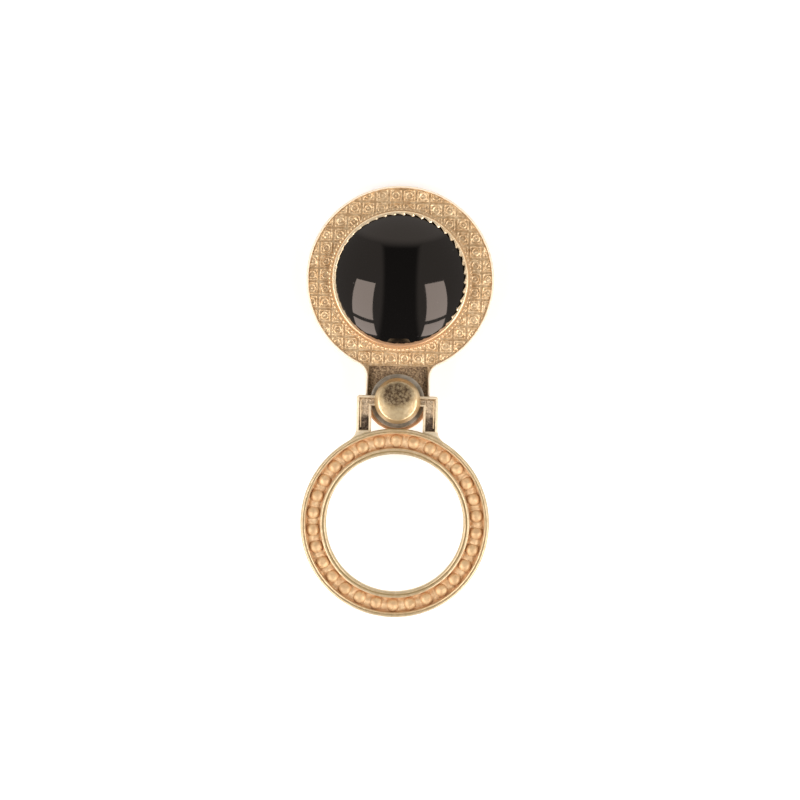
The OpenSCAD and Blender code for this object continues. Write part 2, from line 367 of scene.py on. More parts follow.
def make_sunk_brown():
    """Antiqued brown of the stippled sunk faces; the bail's is pale above and nearly black at its feet."""
    material, tree, shader = start_material("antiqued sunk face", metallic=0.6, Roughness=0.55)
    height = coordinate(tree, "Z")
    specks = use_group(tree, SPECKLE, Speck_Size=0.24, Contrast=0.2).outputs[0]
    broad = use_group(tree, SPECKLE, Speck_Size=1.1, Contrast=0.16).outputs[0]
    brown = mix_colour(tree, specks, rgb(0.13, 0.08, 0.045), rgb(0.50, 0.35, 0.205))
    rubbed = mix_colour(tree, specks, rgb(0.18, 0.115, 0.065), rgb(0.62, 0.45, 0.27))
    tongue = mix_colour(tree, broad, brown, rubbed)
    foot = mix_colour(tree, specks, rgb(0.03, 0.02, 0.014), rgb(0.15, 0.105, 0.07))
    pale = mix_colour(tree, specks, rgb(0.42, 0.31, 0.20), rgb(0.86, 0.71, 0.51))
    upper = ramp(tree, coordinate(tree, "Y"), -2.9 * MM, -1.6 * MM)
    share = place(tree, "ShaderNodeMath", {0: broad, 1: 0.4, 2: -0.2}, operation="MULTIPLY_ADD").outputs[0]
    upper = place(tree, "ShaderNodeMath", {0: upper, 1: share}, operation="ADD", use_clamp=True).outputs[0]
    leg = mix_colour(tree, upper, foot, pale)
    # painted pale highlight along the upper slopes of the ridges and edges in the bail's sunk faces
    ridge_top_highlight = ramp(tree, height, (BAIL_Z + 0.9) * MM, (BAIL_Z + 0.97) * MM)
    leg = mix_colour(tree, ridge_top_highlight, leg, rgb(0.86, 0.74, 0.54))
    on_bail = ramp(tree, height, (BAIL_Z + 0.1) * MM, (BAIL_Z + 0.3) * MM)
    tree.links.new(mix_colour(tree, on_bail, tongue, leg), shader.inputs["Base Color"])
    cast = use_group(tree, CAST, Lump_Size=0.3, Pit_Size=0.16, Pits=0.6)
    bump(tree, shader, cast.outputs["Height"], 0.05)
    return material


def painted_rosy_reflection(tree, gold, rosy):
    """Gold with a painted rosy reflection along the side of the cup that is next to the rivet."""
    near_rivet = ramp(tree, coordinate(tree, "Y"), (REACH - 4.5) * MM, (REACH - 9.0) * MM)
    return mix_colour(tree, near_rivet, gold, rosy)


def make_bezel_gold():
    """Bright gilding of the pressed cup, a little darker between the teeth."""
    material, tree, shader = start_material("bright gilding", metallic=0.55)
    relief = use_group(tree, RELIEF, Bottom=(CUP_TOP - 0.25) * MM, Top=(CUP_TOP - 0.08) * MM,
                       Patch_Size=2.0, Patchiness=0.15).outputs[0]
    cast = use_group(tree, CAST, Lump_Size=0.5, Pit_Size=0.2, Pits=0.2)
    gold = mix_colour(tree, cast.outputs["Mottle"], rgb(0.93, 0.71, 0.44), rgb(0.98, 0.82, 0.57))
    # painted rosy reflection on the side of the cup next to the rivet
    gold = painted_rosy_reflection(tree, gold, rgb(0.80, 0.47, 0.26))
    colour = mix_colour(tree, relief, rgb(0.58, 0.37, 0.19), gold)
    tree.links.new(colour, shader.inputs["Base Color"])
    tree.links.new(ramp(tree, relief, 0.0, 1.0, 0.45, 0.32), shader.inputs["Roughness"])
    bump(tree, shader, cast.outputs["Height"], 0.012)
    return material


def make_wire_gold():
    """Gilding of the beaded wire."""
    material, tree, shader = start_material("milgrain gilding", metallic=0.6)
    relief = use_group(tree, RELIEF, Bottom=(GROUND_Z + 0.1) * MM, Top=(GROUND_Z + 0.34) * MM,
                       Patch_Size=1.2, Patchiness=0.25).outputs[0]
    cast = use_group(tree, CAST, Lump_Size=0.4, Pit_Size=0.15, Pits=0.2)
    # painted rosy reflection on the side of the wire next to the rivet
    gold = painted_rosy_reflection(tree, rgb(0.95, 0.73, 0.45), rgb(0.84, 0.61, 0.37))
    colour = mix_colour(tree, relief, rgb(0.78, 0.55, 0.32), gold)
    tree.links.new(colour, shader.inputs["Base Color"])
    tree.links.new(ramp(tree, relief, 0.0, 1.0, 0.5, 0.38), shader.inputs["Roughness"])
    bump(tree, shader, cast.outputs["Height"], 0.01)
    return material


def make_ring_gold():
    """Gilding of the ring and bail: pale rims with olive grooves and painted dark shade on their rounded
    edges, painted reddish shade along the channel's walls, and a painted highlight on the bail's edges.
    """
    material, tree, shader = start_material("ring gilding", metallic=0.6)
    height = coordinate(tree, "Z")
    radius = distance_aside(tree, -REACH * MM)
    front = ramp(tree, height, (BAIL_Z + 0.3) * MM, (BAIL_Z + 0.6) * MM)
    past_inner_rim = ramp(tree, radius, 11.3 * MM, 11.42 * MM)
    short_of_outer_rim = ramp(tree, radius, 13.46 * MM, 13.6 * MM, 1.0, 0.0)
    channel = multiply(tree, multiply(tree, past_inner_rim, short_of_outer_rim), front)
    cast = use_group(tree, CAST, Lump_Size=0.6, Pit_Size=0.18, Pits=0.3)
    crest = use_group(tree, RELIEF, Bottom=(BAIL_Z + 1.64) * MM, Top=(BAIL_Z + 1.82) * MM,
                      Patch_Size=1.1, Patchiness=0.25).outputs[0]
    # rims: olive between pale crests on top, painted dark shade on the rounded upper edges, plain lower
    # down the sides and behind
    pale = mix_colour(tree, cast.outputs["Mottle"], rgb(0.66, 0.51, 0.31), rgb(0.76, 0.62, 0.41))
    top = mix_colour(tree, crest, rgb(0.52, 0.42, 0.24), pale)
    outside = ramp(tree, radius, 14.12 * MM, 14.24 * MM)
    inside = ramp(tree, radius, 10.58 * MM, 10.47 * MM)
    below = ramp(tree, height, (BAIL_Z + 1.25) * MM, (BAIL_Z + 1.4) * MM, 1.0, 0.0)
    bare = larger(tree, larger(tree, outside, inside), below)
    # painted dark shade on the rounded upper edges of the rims' sides
    corner = ramp(tree, height, (BAIL_Z + 1.44) * MM, (BAIL_Z + 1.56) * MM)
    wall = mix_colour(tree, corner, pale, rgb(0.50, 0.41, 0.25))
    rim = mix_colour(tree, bare, top, wall)
    # channel: patchy and flecked, with painted reddish shade up its walls
    patches = use_group(tree, SPECKLE, Speck_Size=1.3, Contrast=0.16).outputs[0]
    trough = mix_colour(tree, patches, rgb(0.72, 0.49, 0.27), rgb(0.86, 0.64, 0.38))
    flecks = use_group(tree, SPECKLE, Speck_Size=0.5, Contrast=0.12).outputs[0]
    trough = mix_colour(tree, ramp(tree, flecks, 0.0, 1.0, 0.35, 0.0), trough, rgb(0.60, 0.33, 0.16))
    # painted reddish shade next to both walls of the channel
    inner_wall_shade = ramp(tree, radius, 11.75 * MM, 11.46 * MM)
    outer_wall_shade = ramp(tree, radius, 13.2 * MM, 13.45 * MM)
    trough = mix_colour(tree, larger(tree, inner_wall_shade, outer_wall_shade), trough, rgb(0.74, 0.47, 0.25))
    ring = mix_colour(tree, channel, rim, trough)
    # bail: a painted pale highlight on the tops of its edges, over brown sides
    edge = ramp(tree, height, (BAIL_Z + 1.06) * MM, (BAIL_Z + 1.17) * MM)
    upper = mix_colour(tree, cast.outputs["Mottle"], rgb(0.79, 0.66, 0.46), rgb(0.91, 0.79, 0.58))
    bail = mix_colour(tree, edge, rgb(0.60, 0.45, 0.27), upper)
    beyond_ring = ramp(tree, radius, 14.4 * MM, 14.5 * MM)
    above_shoulders = ramp(tree, coordinate(tree, "Y"), -7.5 * MM, -6.5 * MM)
    on_bail = multiply(tree, beyond_ring, above_shoulders)
    tree.links.new(mix_colour(tree, on_bail, ring, bail), shader.inputs["Base Color"])
    dull = larger(tree, channel, on_bail)
    tree.links.new(ramp(tree, dull, 0.0, 1.0, 0.6, 0.3), shader.inputs["Metallic"])
    tree.links.new(ramp(tree, crest, 0.0, 1.0, 0.5, 0.36), shader.inputs["Roughness"])
    bump(tree, shader, cast.outputs["Height"], 0.02)
    return material


def make_bead_gold():
    """Rosy gilding of the domed beads, with painted reddish shade towards their feet."""
    material, tree, shader = start_material("rosy gilding", metallic=0.3)
    relief = use_group(tree, RELIEF, Bottom=(BEAD_Z - 0.02) * MM, Top=(BEAD_Z + 0.5) * MM,
                       Patch_Size=1.4, Patchiness=0.2).outputs[0]
    cast = use_group(tree, CAST, Lump_Size=0.8, Pit_Size=0.25, Pits=0.2)
    gold = mix_colour(tree, cast.outputs["Mottle"], rgb(0.64, 0.43, 0.225), rgb(0.78, 0.56, 0.31))
    flecks = use_group(tree, SPECKLE, Speck_Size=0.5, Contrast=0.12).outputs[0]
    gold = mix_colour(tree, ramp(tree, flecks, 0.0, 1.0, 0.3, 0.0), gold, rgb(0.60, 0.34, 0.17))
    # painted reddish shade towards each bead's foot
    colour = mix_colour(tree, relief, rgb(0.66, 0.39, 0.20), gold)
    tree.links.new(colour, shader.inputs["Base Color"])
    tree.links.new(ramp(tree, relief, 0.0, 1.0, 0.6, 0.5), shader.inputs["Roughness"])
    bump(tree, shader, cast.outputs["Height"], 0.02)
    return material


def make_cap_brass():
    """Antique brass of the rivet's cap: a speckled dark brown patch on the crown, partly antique brown and
    partly a painted reflection of the dark space above, and painted shade on the sloping shoulder.
    """
    material, tree, shader = start_material("antique cap brass", metallic=0.8)
    middle = (-0.1 * MM, 1.0 * MM, (CAP_Z + 1.9) * MM)
    offset = place(tree, "ShaderNodeVectorMath", {0: spot(tree), 1: middle}, operation="SUBTRACT")
    widths = {0: offset.outputs[0], 1: (0.68, 0.88, 0.5)}
    oval = place(tree, "ShaderNodeVectorMath", widths, operation="MULTIPLY").outputs[0]
    spread = place(tree, "ShaderNodeVectorMath", {0: oval}, operation="LENGTH").outputs["Value"]
    crown = ramp(tree, spread, 1.1 * MM, 2.3 * MM, 1.0, 0.0)
    cast = use_group(tree, CAST, Lump_Size=0.6, Pit_Size=0.22, Pits=0.5)
    specks = use_group(tree, SPECKLE, Speck_Size=0.42, Contrast=0.3).outputs[0]
    left = ramp(tree, specks, 0.0, 1.0, 1.08, 0.6)
    # dark patch on the crown: partly antique brown, partly a painted reflection of the dark space above
    patina_and_dark_reflection = multiply(tree, crown, left, use_clamp=True)
    gold = mix_colour(tree, cast.outputs["Mottle"], rgb(0.74, 0.56, 0.31), rgb(0.87, 0.70, 0.43))
    # painted shade on the shoulder below the bend, which dims its highlight
    shoulder = ramp(tree, coordinate(tree, "Z"), (CAP_Z + 1.61) * MM, (CAP_Z + 1.46) * MM)
    gold = mix_colour(tree, shoulder, gold, rgb(0.66, 0.50, 0.28))
    tree.links.new(mix_colour(tree, patina_and_dark_reflection, gold, rgb(0.09, 0.056, 0.03)), shader.inputs["Base Color"])
    tree.links.new(ramp(tree, patina_and_dark_reflection, 0.0, 1.0, 0.38, 0.6), shader.inputs["Roughness"])
    bump(tree, shader, cast.outputs["Height"], 0.02)
    return material


def make_washer_steel():
    """Dull grey zinc of the spacer, with fine turned rings and darker smears."""
    material, tree, shader = start_material("dull spacer zinc", metallic=0.7)
    turned = use_group(tree, TURNED, Pitch=0.08)
    cast = use_group(tree, CAST, Lump_Size=1.2, Pit_Size=0.3, Pits=0.2)
    colour = mix_colour(tree, cast.outputs["Mottle"], rgb(0.34, 0.30, 0.235), rgb(0.52, 0.465, 0.38))
    tree.links.new(colour, shader.inputs["Base Color"])
    tree.links.new(ramp(tree, turned.outputs[0], 0.3, 0.7, 0.38, 0.55), shader.inputs["Roughness"])
    bump(tree, shader, turned.outputs[0], 0.01)
    return material


def make_back_metal(name, dark, bright, rough, lump=0.8):
    """Plain plated metal of the parts behind the plate: faint mottle, pits and handling marks."""
    material, tree, shader = start_material(name)
    cast = use_group(tree, CAST, Lump_Size=lump, Pit_Size=0.25, Pits=0.3)
    mottle = cast.outputs["Mottle"]
    tree.links.new(mix_colour(tree, mottle, dark, bright), shader.inputs["Base Color"])
    tree.links.new(ramp(tree, mottle, 0.0, 1.0, rough + 0.1, rough), shader.inputs["Roughness"])
    bump(tree, shader, cast.outputs["Height"], 0.008)
    return material


def make_black_stone():
    """Polished black stone with a barely uneven polish and a few specks of dust."""
    material, tree, shader = start_material("polished black stone", metallic=0.0, IOR=1.45,
                                            Specular_Tint=rgb(1.0, 0.87, 0.78))
    where = spot(tree)
    cells = place(tree, "ShaderNodeTexVoronoi", {"Vector": where, "Scale": 420.0}).outputs
    dust = ramp(tree, cells["Distance"], 0.03, 0.06, 1.0, 0.0)
    colour = mix_colour(tree, dust, rgb(0.0035, 0.0033, 0.0032), rgb(0.05, 0.045, 0.045))
    tree.links.new(colour, shader.inputs["Base Color"])
    polish = place(tree, "ShaderNodeTexNoise", {"Vector": where, "Scale": 260.0, "Detail": 2.0}).outputs[0]
    tree.links.new(ramp(tree, polish, 0.3, 0.7, 0.03, 0.06), shader.inputs["Roughness"])
    return material


def make_pad_white():
    """White foam of the pad under the stone."""
    material, tree, shader = start_material("adhesive pad foam", metallic=0.0, Roughness=0.8)
    cast = use_group(tree, CAST, Lump_Size=0.5, Pit_Size=0.15, Pits=0.6)
    colour = mix_colour(tree, cast.outputs["Mottle"], rgb(0.62, 0.62, 0.6), rgb(0.75, 0.75, 0.73))
    tree.links.new(colour, shader.inputs["Base Color"])
    bump(tree, shader, cast.outputs["Height"], 0.02)
    return material


# ---- plate ----

# centres of the fillets between disc and tongue, and the angle from straight down where they start
FILLET_X = TONGUE_HALF + FILLET_R
FILLET_Y = REACH - math.sqrt((DISC_R + FILLET_R) ** 2 - FILLET_X ** 2)
FILLET_TURN = math.degrees(math.atan2(FILLET_X, REACH - FILLET_Y))


def arc(centre, radius, start, stop, count):
    a = np.radians(np.linspace(start, stop, count))
    return np.column_stack([centre[0] + radius * np.cos(a), centre[1] + radius * np.sin(a)])


def line(start, stop, count):
    return np.linspace(start, stop, count + 2)[1:-1]


def round_spot(radius, angle, middle_y=0.0):
    """Plan position at that radius and angle about a point on the long axis."""
    return radius * np.cos(angle), middle_y + radius * np.sin(angle)


def plate_loop(inset):
    """The plate's outline, drawn in by inset: disc, fillet, tongue's side and end, and back."""
    half = TONGUE_HALF - inset
    left = arc((-FILLET_X, FILLET_Y), FILLET_R + inset, 90 - FILLET_TURN, 0, 14)
    right = arc((FILLET_X, FILLET_Y), FILLET_R + inset, 180, 90 + FILLET_TURN, 14)
    return np.concatenate([
        arc((0, REACH), DISC_R - inset, -90 + FILLET_TURN, 270 - FILLET_TURN, 260)[1:-1],
        left, line((-half, FILLET_Y), (-half, TONGUE_END), 8),
        arc((0, TONGUE_END), half, 180, 360, 48),
        line((half, TONGUE_END), (half, FILLET_Y), 8), right])


def sunk_loop(inset, count=48):
    """Outline of the tongue's sunk floor."""
    half = TONGUE_HALF - inset
    top = SUNK_TOP + RIM_W - inset
    return np.concatenate([
        arc((0, TONGUE_END), half, 180, 360, count),
        line((half, TONGUE_END), (half, top), 14),
        np.linspace((half, top), (-half, top), 24),
        line((-half, top), (-half, TONGUE_END), 14)])


def emboss(x, y):
    """Relief of the stamped ground: squares with a raised frame, a circle and a dot in each."""
    pitch, turn, start = 2.067, math.radians(-0.4), 0.3
    u = (x * math.cos(turn) + y * math.sin(turn)) / pitch
    v = (-x * math.sin(turn) + y * math.cos(turn)) / pitch + start
    a = np.abs(u - np.floor(u) - 0.5) * pitch
    b = np.abs(v - np.floor(v) - 0.5) * pitch
    square = (a ** 14 + b ** 14) ** (1 / 14)
    circle = np.hypot(a, b)
    cell = grain(np.floor(u), np.floor(v), 1.0, 17)
    lines = 0.15 * ridge(square, 0.79, 0.14) + 0.14 * ridge(circle, 0.52, 0.15)
    lines = lines + 0.12 * ridge(circle, 0, 0.16)
    groove = 0.10 * ease(square, 0.88, 0.99)
    crossing = 0.07 * ridge(np.hypot(a - pitch / 2, b - pitch / 2), 0, 0.3)
    worn = 0.45 + 0.55 * ease(np.hypot(x, y), 10.7, 11.7)
    strength = (0.3 + 0.6 * grain(x, y, 2.9, 3) + 0.4 * cell) * worn
    rough = 0.07 * (grain(x, y, 0.24, 5) - 0.5) + 0.06 * (grain(x, y, 0.55, 8) - 0.5)
    return lines * strength - groove * strength - crossing + rough


def embossed_band():
    """The stamped ground, from under the milgrain to the raised edge and the sunk floor."""
    inner, outer, rows, columns = CUP_R - 0.1, DISC_R - RIM_W - 0.02, 58, 1320
    angle = np.arange(columns) * 2 * math.pi / columns
    down = np.clip(-np.sin(angle), 1e-3, 1)
    limit = np.where(down > 0.9, np.minimum(outer, (REACH - SUNK_TOP) / down), outer)
    share = np.linspace(0, 1, rows)[:, None]
    r = inner + (limit - inner) * share
    x, y = r * np.cos(angle), r * np.sin(angle)
    z = GROUND_Z + emboss(x, y)
    fade = ease(limit - r, 0.0, 0.12) * np.ones_like(z)
    z = (GROUND_Z + 0.06) * (1 - fade) + z * fade
    z[-1] = GROUND_Z
    z[0] = GROUND_Z - 0.03
    return skin(np.stack([x, y + REACH, z], -1), round_rows=False)


def sunk_floor():
    """Stippled floor between the tongue's edges."""
    loop = sunk_loop(RIM_W - 0.02, 60)
    middle = np.array([0.0, 1.8])
    rows = []
    for share in np.linspace(1, 0.02, 46):
        flat = middle + (loop - middle) * share
        lumps = grain(flat[:, 0], flat[:, 1], 0.24, 11) + 0.6 * grain(flat[:, 0], flat[:, 1], 0.13, 12)
        ledge = ease(np.hypot(flat[:, 0], flat[:, 1]), 3.9, 4.06) * ease(-flat[:, 1], 0.6, 1.4)
        stipple = 0.16 * (lumps - 0.8) * min(1, 12 * (1 - share))
        rows.append(np.column_stack([flat, TONGUE_Z + (PLATE_TOP - 0.16 - TONGUE_Z) * ledge + stipple]))
    rows[0][:, 2] = np.maximum(rows[0][:, 2], GROUND_Z - 0.03)
    return skin(np.array(rows), round_rows=False)


def make_plate_casting(material, floor):
    """The plate and tongue: outer wall with its raised edge, stamped ground, sunk floor and back."""
    top = PLATE_TOP
    profile = [(0.25, PLATE_Z), (0.1, PLATE_Z + 0.03), (0.02, PLATE_Z + 0.12), (0, PLATE_Z + 0.3),
               (0, top - 0.16), (0.03, top - 0.06), (0.09, top - 0.01), (0.17, top), (0.25, top - 0.02),
               (0.31, top - 0.08), (0.35, top - 0.18), (0.37, GROUND_Z - 0.01), (RIM_W, TONGUE_Z - 0.05)]
    wall = []
    for inset, z in profile:
        loop = plate_loop(inset)
        wave = 0.05 * (grain(loop[:, 0], loop[:, 1], 0.45, 2) - 1.0) if z > GROUND_Z else 0
        wall.append(np.column_stack([loop, np.full(len(loop), z) + wave]))
    ground = fill([plate_loop(0.36), sunk_loop(RIM_W + 0.004)], GROUND_Z)
    back = fill([plate_loop(0.25)], PLATE_Z)
    shapes = [skin(np.array(wall), round_rows=False), ground, back, embossed_band(), sunk_floor()]
    half = TONGUE_HALF - RIM_W + 0.01

    def is_floor(middle, upright):
        x, y, z = middle.T
        within = (np.abs(x) < half) & ((y > TONGUE_END) | (np.hypot(x, y - TONGUE_END) < half))
        return within & (y > -0.9) & (y < SUNK_TOP) & (z < GROUND_Z - 0.2) & (z > PLATE_Z + 0.3)

    return make_piece("plate_casting", shapes, material, "plate", "face_plate",
                      floor=floor, is_floor=is_floor)


def make_bezel(material):
    """The pressed cup; its turned edge is notched into slanted teeth, deepest at the upper right."""
    teeth, per_tooth = 44, 18
    columns = teeth * per_tooth
    angle = np.arange(columns) * 2 * math.pi / columns
    # radius, height and share of the notches
    rows = [(CUP_R + 0.1, GROUND_Z - 0.02, 0), (CUP_R + 0.07, CUP_TOP - 0.5, 0),
            (CUP_R + 0.03, CUP_TOP - 0.3, 0), (CUP_R - 0.03, CUP_TOP - 0.14, 0),
            (CUP_R - 0.1, CUP_TOP - 0.05, 0), (CUP_R - 0.17, CUP_TOP - 0.01, 0),
            (CUP_R - 0.22, CUP_TOP, 0.15), (CUP_R - 0.28, CUP_TOP - 0.01, 0.6),
            (CUP_R - 0.36, CUP_TOP - 0.02, 1), (CUP_R - 0.44, CUP_TOP - 0.04, 1),
            (CUP_R - 0.52, CUP_TOP - 0.07, 1), (CUP_R - 0.58, CUP_TOP - 0.11, 1),
            (CUP_R - 0.62, CUP_TOP - 0.2, 1)]
    depth = 0.22 + 0.78 * ease(np.cos(angle - math.radians(35)), -0.1, 0.75)
    points = []
    for r, z, cut in rows:
        phase = -angle * teeth / (2 * math.pi) + 2.1 * (r - CUP_R)
        saw = phase - np.floor(phase)
        notch = (1 - saw ** 2) * ease(saw, 0.0, 0.1)
        reach = cut * depth * (CUP_R - 0.15 - r) / 0.47
        radius = r + reach * (0.38 * notch - 0.11)
        height = z + 0.06 * reach + 0.14 * reach * (0.4 - notch)
        points.append(np.column_stack([*round_spot(radius, angle, REACH), height]))
    cup = skin(np.array(points), round_rows=False)
    return make_piece("bezel_teeth", [cup], material, "plate", "bezel_cup")


def dome(radius, height, rings, steps):
    """Half a ball, flattened to that height, that stands on z = 0."""
    a = np.linspace(0, math.pi / 2, rings)
    profile = [(radius * math.cos(t), height * math.sin(t)) for t in a[:-1]] + [(radius * 0.001, height)]
    return lathe(profile, steps=steps, closed=False)


def make_milgrain(material):
    """The beaded wire: small domes along a low band, worn lower at the upper right."""
    count, r, half = 104, MILGRAIN_R, 0.26
    low, top = GROUND_Z - 0.02, GROUND_Z + 0.22
    band = [(r + half, low), (r + half - 0.05, top), (r - half, top), (r - half, low)]
    shapes = [lathe(band, (0, REACH), 208)]
    for i in range(count):
        a = i * 2 * math.pi / count
        height = 0.3 - 0.05 * math.cos(a - math.radians(45))
        shapes.append(moved(dome(0.29, height, 7, 14), (*round_spot(r, a, REACH), GROUND_Z)))
    return make_piece("milgrain_wire", shapes, material, "plate", "beaded_wire")


def make_stone(material):
    """A low dome on a short upright girdle."""
    radius, girdle, rise = 9.99, 0.7, 4.2
    ball = (radius ** 2 + rise ** 2) / (2 * rise)
    lean = math.asin(radius / ball)
    profile = [(0.01, STONE_Z), (radius - 0.1, STONE_Z), (radius, STONE_Z + 0.1),
               (radius, STONE_Z + girdle - 0.05)]
    for t in np.linspace(lean, 0.002, 60):
        profile.append((ball * math.sin(t), STONE_Z + girdle + rise - ball + ball * math.cos(t)))
    stone = lathe(profile, (0, REACH), 192, closed=False)
    return make_piece("domed_stone", [stone], material, "plate", "cabochon", sharp=60)


def make_washer(material):
    """A flat ring with a rounded outer edge."""
    r, low, top = 4.14, TONGUE_Z, WASHER_TOP
    profile = [(POST_HOLE_R, low), (r - 0.12, low), (r, low + 0.14), (r, top - 0.16),
               (r - 0.05, top - 0.05), (r - 0.15, top), (r - 0.4, top - 0.005), (POST_HOLE_R, top)]
    washer = lathe(profile, steps=144)
    return make_piece("spacer_ring", [washer], material, "plate", "spacer_washer")


def make_cap(material):
    """A cap with a nearly flat crown, a tight bend and a sloping shoulder."""
    z, r, crown, flat, bend = CAP_Z, 3.49, 2.0, 2.78, 0.34
    slope_in, slope_out = math.radians(14), math.radians(57)
    fall = 0.5 * flat * math.tan(slope_in)
    profile = [(POST_HOLE_R, z), (r - 0.14, z), (r - 0.03, z + 0.07), (r, z + 0.18), (r - 0.01, z + 0.32)]
    for turn in np.linspace(slope_out, slope_in, 12):
        profile.append((flat + bend * (math.sin(turn) - math.sin(slope_in)),
                        z + crown - fall - bend * (math.cos(slope_in) - math.cos(turn))))
    for x in np.linspace(flat, 0.01, 18)[1:]:
        profile.append((x, z + crown - fall * (x / flat) ** 2))
    cap = lathe(profile, steps=144, closed=False)
    return make_piece("rivet_dome", [cap], material, "plate", "stud_cap", sharp=60)


# ---- ring ----

def ring_profile():
    """Section of the ring as (radius, height, and 1 in the grainy channel)."""
    rim_in = [(10.5, 0), (10.4, 0.12), (10.4, 1.45), (10.42, 1.68), (10.5, 1.83), (10.6, 1.88),
              (10.7, 1.84), (10.78, 1.72), (10.86, 1.64), (10.93, 1.68), (11.0, 1.82), (11.1, 1.9),
              (11.2, 1.88), (11.3, 1.78), (11.36, 1.6), (11.39, 1.3)]
    channel = [(11.42, 1.02), (11.5, 0.92), (11.7, 0.9), (11.95, 0.9), (12.2, 0.9), (BEAD_RING_R, 0.9),
               (12.7, 0.9), (12.95, 0.9), (13.2, 0.9), (13.4, 0.92), (13.47, 1.02)]
    rim_out = [(13.5, 1.3), (13.53, 1.62), (13.58, 1.8), (13.66, 1.88), (13.74, 1.84), (13.8, 1.72),
               (13.86, 1.7), (13.92, 1.8), (14.0, 1.86), (14.1, 1.84), (14.2, 1.74), (14.27, 1.58),
               (14.3, 1.4), (14.3, 0.16), (14.25, 0.05), (14.15, 0)]
    parts = [(rim_in, 0), (channel, 1), (rim_out, 0)]
    return [(r, z, granular) for part, granular in parts for r, z in part]


def ring_band():
    """The ring's whole section, with bridges of metal between the beads on the channel's floor."""
    columns = 1080
    angle = np.arange(columns) * 2 * math.pi / columns
    between = np.abs(np.cos(angle * BEADS / 2))
    uneven = 0.03 * (grain(*round_spot(14, angle), 1.3, 21) - 0.5)
    rows = []
    for r, z, granular in ring_profile():
        wobble = uneven * (z > 0.2)
        height = z + wobble
        if granular:
            lumps = grain(*round_spot(r, angle), 0.28, 23)
            bridge = ease(between, 0.6, 0.98) * ridge(r, BEAD_RING_R, 1.15)
            height = height + 0.42 * bridge + 0.2 * (lumps - 0.3) * ease(between, 0.3, 0.9)
        radius = r + wobble * 0.6
        rows.append(np.column_stack([*round_spot(radius, angle, -REACH), BAIL_Z + height]))
    return skin(np.array(rows))


# height at which the shoulders' hollows start, so that they run smoothly into the ring
SHOULDER_Y = -REACH + math.sqrt((RING_R + FILLET_R) ** 2 - (BAIL_HALF + FILLET_R) ** 2)
# how far out the hollows reach where they meet the ring
FLARE_END = (BAIL_HALF + FILLET_R) * RING_R / (RING_R + FILLET_R) - BAIL_HALF


def bail_height(x, y):
    """Top of the bail: raised edges, a sunk stippled face, and rounded outer corners."""
    x = np.abs(x)
    to_edge = np.maximum(np.minimum.reduce([x - LEG_IN, BAIL_HALF - x, BAR_HALF - y]),
                         np.minimum(BAR_HALF - np.abs(y), BAIL_HALF - x))
    leg = np.minimum.reduce([x - LEG_IN - EDGE, BAIL_HALF - EDGE - x, BAR_HALF - EDGE - y, y + 4.6])
    bar = np.minimum.reduce([BAIL_HALF - EDGE - x, BAR_HALF - EDGE - y, y + BAR_HALF - 0.26])
    inside = ease(np.maximum(leg, bar), 0.0, 0.13)
    deep = 0.34 + 0.2 * ease(-y, 2.0, 4.0) + 0.1 * ridge(y, BAR_HALF - EDGE - 0.1, 0.22)
    stipple = 0.11 * (grain(x, y, 0.24, 31) - 0.5) + 0.05 * (grain(x, y, 0.11, 32) - 0.5)
    ridge_line = 0.36 * ridge(x, 5.57, 0.18) * ease(-y, -0.3, 0.2) * ease(y, -4.4, -4.0)
    shoulder = 0.3 * ease(-y, 4.7, 5.6)
    round_off = 0.16 * (1 - ease(to_edge, 0.0, 0.14))
    return BAIL_T + shoulder - inside * (deep - stipple - ridge_line) - round_off


# rows over the bail's upper edge, close together where the edge rounds
EDGE_ROWS = [BAR_HALF, 0.76, 0.72, 0.66, 0.58, 0.5, 0.45, 0.42, 0.36, 0.3]


def shoulder_flare(y):
    """How far the leg's outer side hollows out towards the ring."""
    if y > SHOULDER_Y:
        return 0.0
    hollow = FILLET_R - math.sqrt(max(FILLET_R ** 2 - (y - SHOULDER_Y) ** 2, 0.0))
    return min(hollow, FLARE_END)


def bail_leg(side):
    """One leg with its shoulder, from the crossbar's level down into the ring's outer rim."""
    across = np.concatenate([[LEG_IN, 3.96, 4.01, 4.07, 4.15, 4.22, 4.25, 4.29, 4.34],
                             np.arange(4.4, 5.7, 0.065),
                             [5.72, 5.77, 5.81, 5.85, 5.91, 6.0, 6.07, 6.12, BAIL_HALF]])
    along = np.concatenate([EDGE_ROWS, np.arange(0.23, -4.4, -0.07),
                            [-4.42, -4.47, -4.52, -4.57, -4.6, -4.64], np.arange(-4.7, -6.8, -0.1)])
    outer_edge = np.clip((across - 5.81) / (BAIL_HALF - 5.81), 0, 1)
    outer_corner = np.clip((across - BAIL_HALF) / CORNER + 1, 0, 1)
    rows = []
    for y in along:
        over = max(y - (BAR_HALF - CORNER), 0.0)
        rounding = CORNER - math.sqrt(CORNER ** 2 - over ** 2)
        x = across + shoulder_flare(y) * outer_edge - rounding * outer_corner
        wall = -REACH + np.sqrt(LEG_ROOT_R ** 2 - x ** 2)
        depth = np.maximum(y, wall)
        top = bail_height(across, np.full(len(across), y))
        low = 0.03 * ease(RING_R - np.hypot(x, depth + REACH), 0.0, 0.1)
        under = np.array([[x[-1], depth[-1], 0.1], [x[-1] - 0.08, depth[-1], low[-1]],
                          [x[0] + 0.08, depth[0], low[0]], [x[0], depth[0], 0.1]])
        rows.append(np.concatenate([np.column_stack([x, depth, top]), under]))
    cap = rows[0].copy()
    cap[:, 2] = np.minimum(cap[:, 2], 0.1)
    foot = cap.copy()
    foot[:, 1] -= 0.08
    foot[:, 2] = 0
    points = np.array([foot, cap] + rows)
    points[:, :, 0] *= side
    points[:, :, 2] += BAIL_Z
    if side < 0:
        points = points[:, ::-1]
    return skin(points, round_rows=False)


